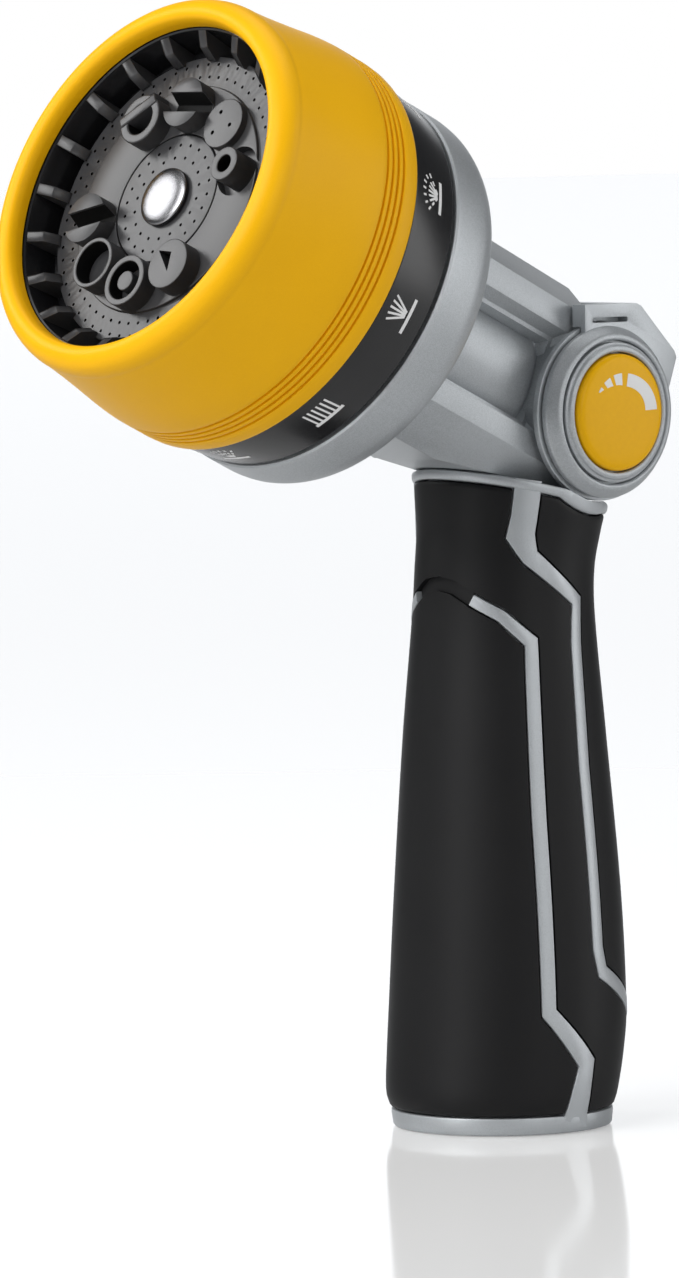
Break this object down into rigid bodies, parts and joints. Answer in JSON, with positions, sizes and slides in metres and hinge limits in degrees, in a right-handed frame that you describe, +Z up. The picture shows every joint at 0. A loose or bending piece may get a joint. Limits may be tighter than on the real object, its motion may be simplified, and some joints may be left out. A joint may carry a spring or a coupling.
{
  "type": "hose spray nozzle",
  "caption": "Hand-held hose spray nozzle: straight rubber grip, tilted round spray head with a turning pattern dial, and a thumb flow lever over a cross barrel.",
  "frame": {"origin": "middle of the overall box in plan, at the level of the handle's base ring", "axes": "+Z up the handle, spray towards -Y and 24.7 degrees upwards, +X to the right-hand side seen from behind the tool; X = 0 is the plane of symmetry"},
  "size_m": [0.0758, 0.1272, 0.2033],
  "materials": {
    "silver_paint": "satin silver metallic paint over die-cast alloy",
    "grip_rubber": "soft-touch matte black over-moulding",
    "yellow_rubber": "satin yellow over-moulding",
    "yellow_plastic": "satin-gloss yellow",
    "gloss_black": "gloss black",
    "face_grey": "satin dark grey",
    "chrome_cap": "polished",
    "brass_fittings": "machined brass",
    "steel_hardware": "bright",
    "pale_acetal": "natural acetal",
    "seal_rubber": "matte black"
  },
  "bodies": {
    "body": {"handle_core": "silver_paint", "neck_casting": "silver_paint", "front_collar": "silver_paint", "grip_front": "grip_rubber", "grip_rear": "grip_rubber", "outlet_plate": "gloss_black", "inlet_socket": "brass_fittings", "spindle": "brass_fittings", "dial_washer": "steel_hardware", "dial_screw": "steel_hardware", "flange_screw_1": "steel_hardware", "flange_screw_2": "steel_hardware", "flange_screw_3": "steel_hardware", "flange_screw_4": "steel_hardware", "retaining_pin": "steel_hardware", "detent_ball": "steel_hardware", "detent_spring": "steel_hardware", "seal_spring": "steel_hardware", "filter_screen": "steel_hardware", "water_tube": "pale_acetal", "flange_gasket": "seal_rubber", "outlet_seal": "seal_rubber", "hose_washer": "seal_rubber", "tube_o_ring_lower": "seal_rubber", "tube_o_ring_upper": "seal_rubber"},
    "dial": {"dial_bezel": "yellow_rubber", "icon_ring": "gloss_black", "pattern_cup": "gloss_black", "selector_plate": "pale_acetal", "channel_block": "face_grey", "spray_face": "face_grey", "rose_disc": "face_grey", "centre_cap": "chrome_cap", "spindle_o_ring": "seal_rubber"},
    "lever": {"thumb_lever": "silver_paint", "valve_spool": "pale_acetal", "trim_ring_left": "silver_paint", "trim_ring_right": "silver_paint", "flow_cap_left": "yellow_plastic", "flow_cap_right": "yellow_plastic", "spool_screw_left": "steel_hardware", "spool_screw_right": "steel_hardware", "spool_o_ring_left": "seal_rubber", "spool_o_ring_right": "seal_rubber"}
  },
  "joints": [
    {"name": "dial_spin", "type": "hinge", "parent": "body", "child": "dial", "pos_m": [0, 0.0356, 0.1332], "axis": [0, -0.9085, 0.4179], "continuous": true},
    {"name": "lever_pivot", "type": "hinge", "parent": "body", "child": "lever", "pos_m": [0, 0.0461, 0.1291], "axis": [-1, 0, 0], "range_deg": [0, 60]}
  ]
}
